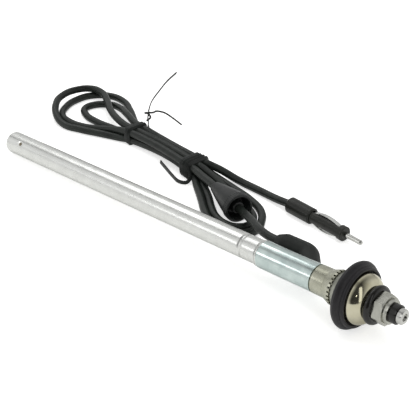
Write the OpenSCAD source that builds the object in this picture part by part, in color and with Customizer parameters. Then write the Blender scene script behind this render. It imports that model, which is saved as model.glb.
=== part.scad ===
// Retractable car antenna, lying on the floor as it comes out of its box.
// The turned parts are drawn along one axis, from the closed end of the tube towards the
// mast tip. The axis rises a little, because the rubber pad is wider than the tube.
// +X is along the antenna towards the tip, +Y is the side of the lead, +Z is up.
// The origin is on the floor under the middle of the antenna.

/* [Mast tube] */
// Outer radius of the tube
tube_r = 7.5; // [6.5:0.1:8]
// Wall of the tube
tube_wall = 0.9; // [0.6:0.1:1]
// How far the tube ends before the sleeve does
tube_inset = 4; // [3:0.5:8]
// Rounding of the closed end
end_round = 2.5; // [1.5:0.1:4]
// Station of the drain hole
drain_at = 16; // [12:0.5:40]
// Radius of the drain hole
drain_r = 1.3; // [0.8:0.1:2]
// Radius of the pressed dimple around the drain hole
dimple_r = 3.1; // [2.2:0.1:3.5]
// Turn of the drain hole about the axis, from straight up
drain_turn = 49; // [0:1:90]
// Distance from the pair of rolled beads to the sleeve
bead_gap = 2.9; // [2.7:0.1:10]
// Width of one bead
bead_w = 1.1; // [0.8:0.1:1.5]
// Height of the beads above the tube
bead_h = 0.45; // [0.2:0.05:0.7]

/* [Sleeve and collar] */
// Length of the sleeve
sleeve_len = 39; // [36:0.5:42]
// Outer radius of the sleeve
sleeve_r = 8.3; // [8.2:0.1:8.8]
// Station where the sleeve ends and the collar starts
collar_at = 276; // [275:0.5:278]
// Outer radius of the collar
collar_r = 8.45; // [8.3:0.05:9]
// Length of the collar's straight part
collar_len = 9.5; // [7:0.5:11]
// Length of the collar's flare
flare_len = 6; // [4:0.5:7]
// Radius of the flare's rim
flare_r = 10.4; // [9.8:0.1:11]
// Length of the spigot inside the tube
spigot_len = 6; // [4:0.5:8]
// Number of notches in the flare's rim
flare_notches = 26; // [16:1:32]
// Width of a notch
notch_w = 1; // [0.6:0.1:1.2]
// Depth of a notch along the axis
notch_d = 1.3; // [0.8:0.1:2]
// Outer radius of the threaded neck
neck_r = 6; // [5.8:0.1:6.4]
// Bore radius of the neck
neck_bore = 4.95; // [4.8:0.05:5]
// Length of the neck in front of the flare
neck_len = 30.5; // [29:0.5:31]

/* [Fender stack] */
// Length of the claw washer's cup
claw_cup = 5; // [4:0.5:6]
// Length of the claw washer's teeth
claw_teeth_len = 2.2; // [1.5:0.1:3]
// Radius of the claw washer's small end
claw_small_r = 9.7; // [9:0.1:10.2]
// Radius of the claw washer's toothed end
claw_big_r = 12.3; // [11.5:0.1:13]
// Number of claw teeth
claw_teeth = 30; // [20:1:36]
// Wall of the claw washer
claw_wall = 1.6; // [1.2:0.1:2]
// Outer radius of the rubber pad
pad_r = 19.5; // [18:0.1:21]
// Thickness of the pad at its rim
pad_h = 6; // [5:0.1:7]
// Width of the ridge on the front of the pad
ridge_w = 2; // [1:0.1:2]
// Height of that ridge
ridge_h = 2; // [1.2:0.1:3]
// Gap between the dome's base and the ridge round it
ridge_gap = 0.5; // [0.4:0.1:1]
// Radius of the dome's base
dome_r = 14.9; // [14:0.1:15.5]
// Radius of the middle of the ridge, which follows the dome's base
ridge_r = dome_r + ridge_gap + ridge_w / 2;
// Radius of the dome's flat front
dome_front_r = 9.8; // [9:0.1:10.5]
// Height of the dome
dome_h = 9; // [7:0.1:10]
// Wall of the dome
dome_wall = 1.2; // [0.8:0.1:1.6]
// Outer radius of the black ring
ring_r = 11.2; // [10.8:0.1:12]
// Thickness of the black ring
ring_h = 4.5; // [4:0.1:6]
// Hexagon of the nut, across flats
nut_af = 16; // [15:0.5:17]
// Length of the nut's hexagon
nut_h = 6; // [5:0.1:7]
// Radius of the nut's round front
nut_boss_r = 7.1; // [6.8:0.1:7.4]
// Length of the nut's round front
nut_boss_h = 2.3; // [1.8:0.1:3]

/* [Mast] */
// Outer radius of the front bush
bush_r = 5.5; // [5.2:0.1:5.5]
// Length of the bush in front of the nut
bush_out = 4.3; // [3:0.1:6]
// Radius of the bush's shoulder inside the nut
shoulder_r = 5.85; // [5.7:0.05:5.9]
// Outer radii of the mast sections, the last one is the rod
mast_r = [4, 3.1, 2.3, 1.5];
// Wall of a mast section
mast_wall = 0.4; // [0.3:0.05:0.45]
// Length of the crimped mouth of a section
crimp_len = 3; // [2:0.5:4]
// Length of the brass foot of a section
foot_len = 12; // [8:1:14]
// Width of a slot in a foot
foot_slot = 0.8; // [0.5:0.1:1]
// Radius of the tip
tip_r = 4.4; // [4.2:0.1:4.8]
// Length of the tip
tip_len = 2.9; // [2.5:0.1:5]
// Radius of the recess in the tip's face
tip_recess_r = 2.2; // [1.5:0.1:2.6]
// Outer radius of the insulating liner
liner_wall = 1.1; // [0.8:0.1:1.2]
// Length of the buffer in the closed end
buffer_len = 7; // [5:0.5:8]
// Length of the contact ferrule
ferrule_len = 14; // [10:1:14]

/* [Boot and lead] */
// Outer radius of the moulded boot
boot_r = 6.2; // [5.5:0.1:6.6]
// Distance from the mast axis to the boot's straight part
boot_off = 16.5; // [15.5:0.1:18]
// Distance from the boot's bend to the end of the sleeve
boot_setback = 25.5; // [25:0.5:27]
// Length of the boot's straight part
boot_len = 13; // [10:0.5:15]
// Length of the cone where the lead leaves the boot
boot_cone = 5; // [4:0.5:6]
// Radius of the cable
cable_r = 2.6; // [2.2:0.1:2.6]
// Radius of the grommet's rim
grommet_r = 9.5; // [8.5:0.1:9.9]
// Radius of the grommet's narrow end
grommet_neck_r = 3.7; // [3.3:0.1:4]
// Length of the grommet
grommet_len = 32; // [28:1:34]
// Number of ribs on the grommet's rim
grommet_ribs = 40; // [24:2:48]

/* [Plug] */
// Radius of the plug's handle
handle_r = 5.2; // [4.9:0.1:5.6]
// Length of the handle
handle_len = 21; // [18:0.5:24]
// Radius of the plug's core
core_r = 3.9; // [3.6:0.1:4.1]
// Length of the core in front of the handle, to the nose
core_len = 23.5; // [20:0.5:25]
// Radius of the nose
nose_r = 4.7; // [4.3:0.1:4.8]
// Length of the nose
nose_len = 4; // [2:0.1:5]
// Radius of the centre pin
pin_r = 1.55; // [1.4:0.05:1.6]
// Length of the centre pin in front of the nose
pin_len = 14; // [12:0.5:18]
// How far a contact spring bows out of the core
spring_bow = 1; // [0.6:0.1:1.2]
// Width of a contact spring
spring_w = 2.8; // [2:0.1:3.2]
// Thickness of a contact spring
spring_t = 0.4; // [0.3:0.05:0.5]
// Turn of the springs about the plug, from straight up
spring_turn = -10; // [-90:1:90]

/* [Ties] */
// Thickness of a tie's vinyl
tie_t = 0.8; // [0.6:0.1:1.2]
// Width of a tie's vinyl
tie_w = 2.6; // [2:0.1:4]

/* [Clearances] */
// Radial gap between parts that fit into each other
fit = 0.05; // [0.03:0.01:0.08]
// Radial gap of a sliding mast section
slide = 0.08; // [0.05:0.01:0.1]

/* [Hidden] */
$fn = 96;
// A little more than nothing, so that cuts go right through
eps = 0.01;

// Stations along the axis that follow from the sizes above
tube_end = collar_at - tube_inset;
sleeve_at = collar_at - sleeve_len;
bead_at = sleeve_at - bead_gap;
boot_bend_at = collar_at - boot_setback;
flare_at = collar_at + collar_len;
flare_end = flare_at + flare_len;
claw_at = flare_end + fit;
pad_at = claw_at + claw_cup + claw_teeth_len + fit;
pad_rim = pad_h / 2;
dome_at = pad_at + pad_h + fit;
dome_end = dome_at + dome_h;
ring_at = dome_end + fit;
nut_at = ring_at + ring_h + fit;
neck_end = flare_end + neck_len;
shoulder_end = nut_at + nut_h - fit;
nut_end = nut_at + nut_h + nut_boss_h;
bush_end = nut_end + bush_out;
tip_at = bush_end + fit;
tip_end = tip_at + tip_len;
bush_at = collar_at - spigot_len;
tube_in_r = tube_r - tube_wall;
liner_r = tube_in_r - fit;
liner_in_r = liner_r - liner_wall;
liner_end = bush_at - fit;
ferrule_at = liner_end - ferrule_len - 1;
mast_gap = 1;
mast_start = tube_wall + buffer_len + mast_gap;
// Bore in which each foot slides
host_r = [liner_in_r, mast_r[0] - mast_wall, mast_r[1] - mast_wall, mast_r[2] - mast_wall];

// Lie of the axis: the rim of the pad and the closed end of the tube both touch the floor
lever = pad_at + pad_rim - end_round;
rise = pad_r - pad_rim - tube_r + end_round;
tilt = atan2(rise, lever) + asin((pad_rim - end_round) / norm([lever, rise]));
end_h = (tube_r - end_round) * cos(tilt) + end_round * (1 - sin(tilt));
back_x = end_round * cos(tilt) - (tube_r - end_round) * sin(tilt) - end_round;
front_x = tip_end * cos(tilt) + tip_r * sin(tilt);
mid_x = (back_x + front_x) / 2;

// Feed wire: its radius, the radius of its hole, and how much it slants towards the tube
wire_r = 1;
wire_hole_r = 1.6;
wire_slant = 30;
// Boot: where it starts to bend, how far it bends, and the radius of that bend
boot_mitre = 1.8;
boot_slant = 47;
boot_bend_r = boot_r + 1.8;

// Places of what lies on the floor beside the antenna
boot_exit_at = boot_bend_at - boot_len - boot_cone;
boot_exit = [boot_exit_at * cos(tilt) - mid_x, boot_off, end_h + boot_exit_at * sin(tilt)];
grommet_at = [16, 36.5, grommet_r + 0.3];
grommet_turn = 162;
plug_at = [30, 68, handle_r];
plug_turn = -5.5;
low = cable_r + 0.1;
high = low + 2 * cable_r + 0.2;
tied_low = low + tie_t;
tied_high = high + tie_t;
// Route of the lead: boot, grommet, three loops on the left and two on the right, plug
route = concat([boot_exit], [
    [57, 17.5, 16], [46, 21.5, 14.6], [33, 28.5, 12.4],
    grommet_at, [-1, 42, 9.8], [-15, 46.5, 9.7], [-30, 51.5, 8.8],
    [-45, 55.6, tied_high], [-112, 62.8, tied_high],
    [-124, 62.8, 7.4], [-138, 60.8, 4.4], [-154, 55, low], [-170, 52.5, low], [-183, 56.5, low],
    [-191.5, 67, low], [-195.5, 80, low], [-193, 93.5, low], [-182, 102.5, low], [-167, 103, low],
    [-151, 95.5, low], [-136, 86, low], [-123, 77.5, low], [-112, 73.8, tied_low],
    [-45, 66.8, tied_low], [-33, 65.4, low], [-14, 62, low], [6, 58, low], [20, 52, low],
    [28.5, 43, low], [33.5, 32.5, low], [30.5, 21.8, low], [20, 17, low], [6, 18.5, low],
    [-6, 25, low], [-18, 34, low], [-31, 44.5, low],
    [-45, 55.6, tied_low], [-112, 62.8, tied_low],
    [-123, 60.5, low], [-138, 55.5, low], [-154, 50, low], [-169, 47, low], [-182, 50.5, 4.6],
    [-192, 58.5, 7.6], [-198, 70, high], [-198.5, 83, high], [-191.5, 93, high], [-180, 95.5, high],
    [-166, 90, high], [-151, 81, high], [-137, 74, high], [-124, 69.5, high],
    [-112, 68.3, tied_high], [-45, 61.2, tied_high],
    [-32, 59.6, 7], [-16, 56.5, 4.2], [0, 52.5, low], [13, 48.5, low], [22, 42.5, low],
    [26, 34, low], [22.5, 26, low], [14, 22.7, low], [4, 25.5, low], [-6, 32, low],
    [-17, 41, low], [-31, 52, low],
    [-45, 61.1, tied_low], [-112, 68.3, tied_low],
    [-123, 68, low], [-139, 66.8, low], [-156, 66, low], [-170, 68.5, low], [-179, 75.5, low],
    [-178, 85, low], [-169, 91, 3.4], [-155, 89, 5.8], [-140, 82.8, 7.8], [-125, 76.8, high],
    [-112, 73.8, tied_high], [-45, 66.9, tied_high],
    [-32, 69.6, 6.4], [-18, 71.2, 3.4], [2, 71.2, low], [18, 69.5, 3.6], plug_at]);
// Plug: where its nose ends, and the thinner root of the pin in it
nose_end = handle_len + core_len + nose_len + fit;
pin_root = 6;
pin_root_r = pin_r - 0.35;
// Ties: half width and half height inside a loop, and the way of the bundle under it
loop_w = 3 * cable_r + 0.45 + tie_t / 2;
loop_h = 2 * cable_r + 0.15 + tie_t / 2;
loop_r = cable_r + tie_t / 2;
bundle_turn = -6;
tie_1_at = [-116.5, 68.8, tied_low + cable_r + 0.1];
tie_2_at = [-54, 62.2, tied_low + cable_r + 0.1];
tie_1_tail = [[-108.5, 75.5, 14.5], [-106.5, 74, 18.5], [-105.5, 73.8, 22], [-106.5, 76.5, 25],
    [-109.5, 83, 27.2], [-114, 95, 30], [-118, 106, 32], [-121, 118, 34]];
tie_1_end = [[-106, 75.45, 23.23], [-106, 77.3, 21.6], [-107, 83, 20.5], [-105.5, 89, 17.5],
    [-103.6, 95, 12], [-104, 103, 4]];
tie_2_tail = [[-42.5, 51.5, 5], [-41.5, 47, 2.6], [-47.5, 45.3, 1.8], [-56, 48, 1.6],
    [-66, 52, 1.6], [-77, 56.5, 1.6]];

// Turned shape from [radius, station] points
module turned(points) {
    rotate_extrude()
        polygon(points);
}

// Places what is drawn along +Z on the antenna's axis; X becomes the lead's side, Y is up
module on_axis(station = 0) {
    translate([-mid_x, 0, end_h])
        rotate([0, -tilt, 0])
            rotate([90, 0, 90])
                translate([0, 0, station])
                    children();
}

// Ring or tube between two stations
module pipe(r_out, r_in, from, to) {
    translate([0, 0, from])
        difference() {
            cylinder(r = r_out, h = to - from);
            translate([0, 0, -eps])
                cylinder(r = r_in, h = to - from + 2 * eps);
        }
}

// Notches cut inwards from a rim, as thin blocks round the axis
module notches(count, width, depth, station, radius, reach) {
    for (i = [0 : count - 1])
        rotate([0, 0, 360 * i / count])
            translate([radius - reach, -width / 2, station])
                cube([reach + 2, width, depth]);
}

// Unit vector, and the way a route runs at its point i
function unit(v) = v / norm(v);
function heading(p, i) = unit(p[min(i + 1, len(p) - 1)] - p[max(i - 1, 0)]);
// What is left of a vector s across the heading d
function across(s, d) = unit(s - (s * d) * d);
// Sideways vectors along a route, carried on from point to point without a twist
function sideways(p, first) =
    [for (i = 0, s = across(first, heading(p, 0)); i < len(p);
        i = i + 1, s = i < len(p) ? across(s, heading(p, i)) : s) s];
// Ring of points about a point of a route that runs along d, with s across it
function ring_at_point(at, d, s, half_w, half_t, count) =
    let (u = cross(s, d))
    [for (k = [0 : count - 1])
        at + half_w * cos(360 * (k + 0.5) / count) * s + half_t * sin(360 * (k + 0.5) / count) * u];

// Cord of one width and thickness along a route, with its width along first at the start
module swept(p, half_w, half_t, count, first) {
    rings = len(p);
    s = sideways(p, first);
    points = [for (i = [0 : rings - 1])
        each ring_at_point(p[i], heading(p, i), s[i], half_w, half_t, count)];
    walls = [for (i = [0 : rings - 2], k = [0 : count - 1])
        let (a = i * count + k, b = i * count + (k + 1) % count)
        [a, b, b + count, a + count]];
    polyhedron(points, concat([[for (k = [0 : count - 1]) count - 1 - k]], walls,
        [[for (k = [0 : count - 1]) (rings - 1) * count + k]]));
}

// Mast tube: thin wall, spun closed end, two rolled beads before the sleeve
module mast_tube() {
    color("silver")
        on_axis()
            difference() {
                union() {
                    rotate_extrude()
                        difference() {
                            union() {
                                translate([0, end_round])
                                    square([tube_r, tube_end - end_round]);
                                square([tube_r - end_round, tube_end]);
                                intersection() {
                                    translate([tube_r - end_round, end_round])
                                        circle(r = end_round);
                                    square([tube_r, end_round]);
                                }
                            }
                            translate([-1, tube_wall])
                                square([tube_in_r + 1, tube_end]);
                        }
                    for (i = [0 : 1])
                        translate([0, 0, bead_at + i * (bead_w + 0.4)])
                            rotate_extrude()
                                intersection() {
                                    translate([tube_r + bead_h - bead_w / 2, bead_w / 2])
                                        circle(r = bead_w / 2);
                                    translate([tube_r - tube_wall / 2, 0])
                                        square([2, bead_w]);
                                }
                }
                drain_cut();
                wire_way(wire_hole_r);
            }
}

// Drain hole with its pressed dimple, as one cutting shape
dimple_deep = 0.5;
module drain_cut() {
    dimple_ball = (dimple_r * dimple_r + dimple_deep * dimple_deep) / (2 * dimple_deep);
    translate([0, 0, drain_at])
        rotate([0, 0, 90 + drain_turn])
            rotate([0, 90, 0]) {
                cylinder(r = drain_r, h = 2 * tube_r);
                translate([0, 0, tube_r - dimple_deep + dimple_ball])
                    sphere(r = dimple_ball);
            }
}

// Nylon buffer that closes the bottom of the tube and catches the mast
module end_buffer() {
    color("ivory")
        on_axis()
            difference() {
                pipe(liner_r, drain_r, tube_wall + fit, tube_wall + buffer_len);
                translate([0, 0, tube_wall + buffer_len - 2])
                    cylinder(r = mast_r[0] + 1, h = 2 + eps);
            }
}

// Plastic tube that keeps the mast off the earthed tube
module insulating_liner() {
    color("whitesmoke")
        on_axis()
            difference() {
                pipe(liner_r, liner_in_r, tube_wall + buffer_len + fit, liner_end);
                wire_way(wire_hole_r);
                drain_cut();
            }
}

// Brass ferrule whose fingers press on the mast and carry the signal to the feed wire
module contact_ferrule() {
    color("goldenrod")
        on_axis()
            difference() {
                pipe(liner_in_r - fit, mast_r[0] + slide, ferrule_at, ferrule_at + ferrule_len);
                for (i = [0 : 5])
                    rotate([0, 0, 60 * i + 30])
                        translate([0, -foot_slot / 2, ferrule_at - eps])
                            cube([tube_r, foot_slot, ferrule_len * 0.6]);
            }
}

// Zinc-plated sleeve pressed over the end of the tube
module ground_sleeve() {
    color("lightsteelblue")
        on_axis()
            difference() {
                pipe(sleeve_r, tube_r + fit, sleeve_at, collar_at - fit);
                wire_way(wire_hole_r);
            }
}

// Die-cast collar: spigot in the tube, flare with a notched rim, threaded neck
module flared_collar() {
    color("tan")
        on_axis()
            difference() {
                turned([
                    [neck_bore, bush_at + fit], [tube_in_r - fit, bush_at + fit],
                    [tube_in_r - fit, tube_end + fit],
                    [tube_r - fit, tube_end + fit], [tube_r - fit, collar_at + 0.7],
                    [collar_r - 0.2, collar_at + 0.7], [collar_r, collar_at + 0.9],
                    [collar_r, flare_at - 0.4], [collar_r + 0.3, flare_at],
                    [flare_r, flare_end - 1.6], [flare_r, flare_end],
                    [neck_r, flare_end], [neck_r, neck_end - 0.5], [neck_r - 0.5, neck_end],
                    [neck_bore, neck_end]]);
                notches(flare_notches, notch_w, notch_d + eps, flare_end - notch_d, flare_r, 1.2);
            }
}

// Cup washer whose teeth bite into the underside of the fender
module claw_washer() {
    claw_end = claw_at + claw_cup + claw_teeth_len;
    color("darkgray")
        on_axis()
            difference() {
                turned([
                    [neck_r + fit, claw_at], [claw_small_r, claw_at],
                    [claw_big_r - 0.3, claw_at + claw_cup], [claw_big_r, claw_at + claw_cup + 0.3],
                    [claw_big_r, claw_end], [claw_big_r - claw_wall, claw_end],
                    [claw_big_r - claw_wall - 1, claw_at + claw_wall + 1],
                    [neck_r + fit, claw_at + claw_wall]]);
                for (i = [0 : claw_teeth - 1])
                    rotate([0, 0, 360 * i / claw_teeth])
                        translate([claw_big_r - claw_wall - 1, 0, claw_end])
                            rotate([0, 90, 0])
                                cylinder(r = claw_teeth_len * 0.55, h = claw_wall + 3, $fn = 4);
            }
}

// Thick rubber pad with a round rim and a low ridge round the dome
module rubber_pad() {
    color("dimgray")
        on_axis(pad_at)
            rotate_extrude()
                difference() {
                    union() {
                        translate([neck_r + fit, 0])
                            square([pad_r - pad_rim - neck_r - fit, pad_h]);
                        translate([pad_r - pad_rim, pad_rim])
                            circle(r = pad_rim);
                        translate([neck_r + fit, 0])
                            square([dome_r - dome_wall - 1.4 - neck_r, pad_h + 2]);
                        translate([ridge_r - ridge_w / 2, pad_h - 1])
                            square([ridge_w, ridge_h + 1 - ridge_w / 2]);
                        translate([ridge_r, pad_h + ridge_h - ridge_w / 2])
                            circle(r = ridge_w / 2);
                    }
                    translate([-1, -1])
                        square([neck_r + fit + 1, pad_h + 6]);
                }
}

// Spun dome that trims the hole in the fender
module dome_bezel() {
    arc_x = (dome_r * dome_r - dome_front_r * dome_front_r - dome_arc_h * dome_arc_h)
        / (2 * (dome_r - dome_front_r));
    color("khaki")
        on_axis(dome_at)
            rotate_extrude()
                difference() {
                    dome_outline(arc_x, 0);
                    dome_outline(arc_x, dome_wall);
                    translate([-1, -eps])
                        square([neck_r + fit + 1, dome_h + 1]);
                }
}
dome_lip = 1;
dome_arc_h = dome_h - dome_lip;
// Half section of the dome, shrunk by a wall
module dome_outline(arc_x, wall) {
    intersection() {
        union() {
            translate([arc_x, dome_lip])
                circle(r = dome_r - arc_x - wall);
            translate([0, -wall])
                square([dome_r - wall, dome_lip + wall]);
            translate([0, -wall])
                square([arc_x, dome_h]);
        }
        translate([0, -wall])
            square([dome_r + 1, dome_h]);
    }
}

// Black ring between the dome and the nut
module seal_ring() {
    color("black")
        on_axis(ring_at)
            rotate_extrude()
                difference() {
                    union() {
                        translate([ring_r - ring_h / 2, ring_h / 2])
                            circle(r = ring_h / 2);
                        translate([neck_r + fit, 0])
                            square([ring_r - ring_h / 2 - neck_r, ring_h]);
                    }
                    translate([-1, -1])
                        square([neck_r + fit + 1, ring_h + 2]);
                }
}

// Hexagonal nut with a round lip in front
module cap_nut() {
    corner_r = nut_af / 2 / cos(30);
    chamfer = corner_r - nut_af / 2;
    color("gray")
        on_axis(nut_at)
            difference() {
                union() {
                    intersection() {
                        rotate([0, 0, 12])
                            cylinder(r = corner_r, h = nut_h, $fn = 6);
                        turned([
                            [0, 0], [corner_r - chamfer, 0], [corner_r, chamfer * 0.6],
                            [corner_r, nut_h - chamfer * 0.7], [corner_r - chamfer, nut_h], [0, nut_h]]);
                    }
                    turned([
                        [0, nut_h - eps], [nut_boss_r, nut_h - eps], [nut_boss_r, nut_h + nut_boss_h - 0.5],
                        [nut_boss_r - 0.5, nut_h + nut_boss_h], [0, nut_h + nut_boss_h]]);
                }
                translate([0, 0, -eps])
                    cylinder(r = neck_r + fit, h = nut_h + eps);
                cylinder(r = bush_r + fit, h = nut_h + nut_boss_h + 1);
            }
}

// Nylon bush that guides the mast and insulates it from the nut
module front_bush() {
    color("black")
        on_axis()
            turned([
                [mast_r[0] + slide, bush_at + fit], [neck_bore - fit, bush_at + fit],
                [neck_bore - fit, neck_end + fit], [shoulder_r, neck_end + fit],
                [shoulder_r, shoulder_end], [bush_r, shoulder_end],
                [bush_r, bush_end - 0.6], [bush_r - 0.6, bush_end],
                [mast_r[0] + slide, bush_end]]);
}

// Telescopic section i of the mast, with its mouth crimped on to the next one
module section(i) {
    outer = mast_r[i];
    mouth = mast_r[i + 1] + slide;
    start = mast_start + i;
    color("lightgray")
        on_axis()
            turned([
                [outer - mast_wall, start], [outer, start], [outer, bush_end - 0.6],
                [outer - 0.25, bush_end], [mouth, bush_end], [mouth, bush_end - crimp_len],
                [outer - mast_wall, bush_end - crimp_len - 0.5]]);
}
module mast_section_1() section(0);
module mast_section_2() section(1);
module mast_section_3() section(2);

// Steel rod at the centre, with the tip on its end
module mast_rod() {
    color("lightgray")
        on_axis()
            translate([0, 0, mast_start + 3])
                cylinder(r = mast_r[3], h = tip_at + 1.5 - mast_start - 3);
}

// Slotted brass foot on the lower end of section i
module foot(i) {
    start = mast_start + i;
    color("goldenrod")
        on_axis()
            difference() {
                pipe(host_r[i] - slide, mast_r[i] + fit / 2, start, start + foot_len);
                for (k = [0 : 1])
                    rotate([0, 0, 90 * k])
                        translate([-tube_r, -foot_slot / 2, start - eps])
                            cube([2 * tube_r, foot_slot, foot_len * 0.7]);
            }
}
module mast_foot_1() foot(0);
module mast_foot_2() foot(1);
module mast_foot_3() foot(2);
module mast_foot_4() foot(3);

// Round metal tip that closes the mast, with a cross recess in its face
module mast_tip() {
    color("gainsboro")
        on_axis(tip_at)
            difference() {
                turned([
                    [0, 0], [tip_r - 0.3, 0], [tip_r, 0.3], [tip_r, tip_len - 0.6],
                    [tip_r - 0.6, tip_len], [0, tip_len]]);
                translate([0, 0, -eps])
                    cylinder(r = mast_r[3] + fit / 2, h = 1.5 + fit);
                translate([0, 0, tip_len - 0.9])
                    cylinder(r = tip_recess_r, h = 1);
            }
}

// Way of the feed wire: along the boot, then slanting into the side of the tube
module wire_way(r, reach = 21) {
    translate([boot_off, 0, boot_bend_at - boot_len - boot_cone / 2 + fit])
        cylinder(r = r, h = boot_len + boot_cone / 2 - fit + r * 0.6);
    translate([boot_off, 0, boot_bend_at])
        rotate([0, -wire_slant, 0])
            cylinder(r = r, h = reach);
}

// Moulded elbow where the lead leaves the side of the sleeve
module cable_boot() {
    color("black")
        on_axis(boot_bend_at)
            difference() {
                union() {
                    translate([boot_off - boot_bend_r, 0, boot_mitre]) {
                        rotate([90, 0, 0])
                            rotate_extrude(angle = boot_slant)
                                translate([boot_bend_r, 0])
                                    circle(r = boot_r);
                        rotate([0, -boot_slant, 0])
                            translate([boot_bend_r, 0, -eps])
                                cylinder(r = boot_r, h = boot_off);
                    }
                    translate([boot_off, 0, -boot_len])
                        cylinder(r = boot_r, h = boot_len + boot_mitre + eps);
                    translate([boot_off, 0, -boot_len - boot_cone])
                        cylinder(r1 = boot_r - 2, r2 = boot_r, h = boot_cone + eps);
                }
                translate([0, 0, -2 * boot_len])
                    cylinder(r = sleeve_r + fit, h = 4 * boot_len);
                translate([-4 * sleeve_r, -2 * sleeve_r, -2 * boot_len])
                    cube([4 * sleeve_r, 4 * sleeve_r, 5 * boot_len]);
                translate([0, 0, -boot_bend_at])
                    wire_way(wire_r + fit);
                translate([boot_off, 0, -boot_len - boot_cone - eps])
                    cylinder(r = cable_r, h = boot_cone / 2 + eps);
            }
}

// Centre wire of the lead, through the boot and the side of the tube to the ferrule
module feed_wire() {
    color("orange")
        on_axis()
            wire_way(wire_r, (boot_off - liner_in_r - wire_r) / sin(wire_slant));
}

// The lead itself, bundled
module antenna_cable() {
    color("black")
        swept(route, cable_r, cable_r, 10, [0, 0, 1]);
}

// Rubber grommet on the lead, with a ribbed rim and a hollow face
module firewall_grommet() {
    nub_r = cable_r + 1.3;
    color("dimgray")
        translate(grommet_at)
            rotate([0, 0, grommet_turn])
                rotate([0, 90, 0])
                    difference() {
                        turned([
                            [0, 1], [nub_r - 0.4, 1], [nub_r, 1.5], [nub_r + 0.2, 9],
                            [grommet_r - 2.6, 8], [grommet_r - 1.6, 0], [grommet_r - 0.6, 0],
                            [grommet_r, 0.6], [grommet_r, 4.4], [grommet_r - 0.6, 5],
                            [grommet_r - 1, 7], [grommet_neck_r + 1.6, grommet_len * 0.62],
                            [grommet_neck_r + 0.3, grommet_len * 0.85],
                            [grommet_neck_r, grommet_len], [0, grommet_len]]);
                        notches(grommet_ribs, 0.5, 4.4, 0.4, grommet_r, 0.4);
                        translate([0, 0, -1])
                            cylinder(r = cable_r, h = grommet_len + 2);
                    }
}

// Points of a tie's turns round the bundle, from point first to point last, 12 to a turn
function loop_points(place, first, last) =
    let (
        along = [cos(bundle_turn), sin(bundle_turn), 0],
        over = [-sin(bundle_turn), cos(bundle_turn), 0])
    [for (k = [first : last])
        let (
            corner = floor(k / 3) % 4,
            a = 90 * floor(k / 3) - 90 + 45 * (k % 3),
            u = (corner < 2 ? 1 : -1) * (loop_w - loop_r) + loop_r * cos(a),
            v = (corner == 1 || corner == 2 ? 1 : -1) * (loop_h - loop_r) + loop_r * sin(a))
        place + (k - first) / 12 * (tie_w + 0.3) * along + u * over + [0, 0, v]];

module twist_tie_1() {
    along = [cos(bundle_turn), sin(bundle_turn), 0];
    color("black") {
        swept(concat(loop_points(tie_1_at, 3, 28), tie_1_tail), tie_w / 2, tie_t / 2, 8, along);
        swept(tie_1_end, 0.6, 0.6, 6, along);
    }
}

module twist_tie_2() {
    along = [cos(bundle_turn), sin(bundle_turn), 0];
    color("black")
        swept(concat(loop_points(tie_2_at, 3, 44), tie_2_tail), tie_w / 2, tie_t / 2, 8, along);
}

// Places what is drawn along +Z in line with the plug, with Y turned to the springs
module on_plug(station = 0) {
    translate(plug_at)
        rotate([0, 0, plug_turn])
            rotate([90, 0, 90])
                translate([0, 0, station])
                    children();
}

// Moulded handle of the plug
module plug_handle() {
    color("black")
        on_plug()
            difference() {
                turned([
                    [0, 0], [handle_r - 1, 0], [handle_r, 1.2], [handle_r, handle_len - 0.8],
                    [handle_r - 0.8, handle_len], [0, handle_len]]);
                translate([0, 0, -eps])
                    cylinder(r = cable_r, h = 2);
                translate([0, 0, handle_len - 3])
                    cylinder(r = core_r + fit, h = 4);
            }
}

// Insulating core with a flat on each side for a spring, and the nose
module plug_core() {
    trough = 0.9;
    color("black")
        on_plug(handle_len - 3 + fit)
            rotate([0, 0, spring_turn])
                difference() {
                    turned([
                        [0, 0], [core_r, 0], [core_r, core_len + 3], [nose_r, core_len + 3.3],
                        [nose_r, core_len + 2.6 + nose_len], [nose_r - 0.4, core_len + 3 + nose_len],
                        [0, core_len + 3 + nose_len]]);
                    for (side = [-1, 1])
                        translate([-spring_w / 2 - fit, side > 0 ? core_r - trough : -core_r - 1, -eps])
                            cube([spring_w + 2 * fit, trough + 1, core_len + 3.05]);
                    translate([0, 0, core_len + 3 + nose_len - pin_root - fit])
                        cylinder(r = pin_root_r, h = pin_root + 1);
                }
}

// Two bowed contact springs on opposite sides of the core
module plug_springs() {
    seat = core_r - 0.9 + fit;
    span = core_len - 1;
    bow = spring_bow + 0.9;
    arc_r = (span * span / 4 + bow * bow) / (2 * bow);
    color("lightgray")
        on_plug(handle_len + fit)
            rotate([0, 0, spring_turn])
                for (side = [0, 180])
                    rotate([0, 0, side])
                        translate([spring_w / 2, seat, 0])
                            rotate([0, -90, 0])
                                linear_extrude(spring_w)
                                    intersection() {
                                        translate([0.5, 0])
                                            square([span, bow + spring_t]);
                                        translate([0.5 + span / 2, bow + spring_t - arc_r])
                                            difference() {
                                                circle(r = arc_r, $fn = 180);
                                                circle(r = arc_r - spring_t, $fn = 180);
                                            }
                                    }
}

// Centre pin of the plug
module plug_pin() {
    color("silver")
        on_plug(nose_end) {
            translate([0, 0, -pin_root])
                cylinder(r = pin_root_r, h = pin_root + eps);
            cylinder(r = pin_r, h = pin_len - pin_r);
            translate([0, 0, pin_len - pin_r])
                sphere(r = pin_r);
        }
}

mast_tube();
end_buffer();
insulating_liner();
contact_ferrule();
ground_sleeve();
flared_collar();
claw_washer();
rubber_pad();
dome_bezel();
seal_ring();
cap_nut();
front_bush();
mast_section_1();
mast_section_2();
mast_section_3();
mast_rod();
mast_foot_1();
mast_foot_2();
mast_foot_3();
mast_foot_4();
mast_tip();
cable_boot();
feed_wire();
antenna_cable();
firewall_grommet();
twist_tie_1();
twist_tie_2();
plug_handle();
plug_core();
plug_springs();
plug_pin();
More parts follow.
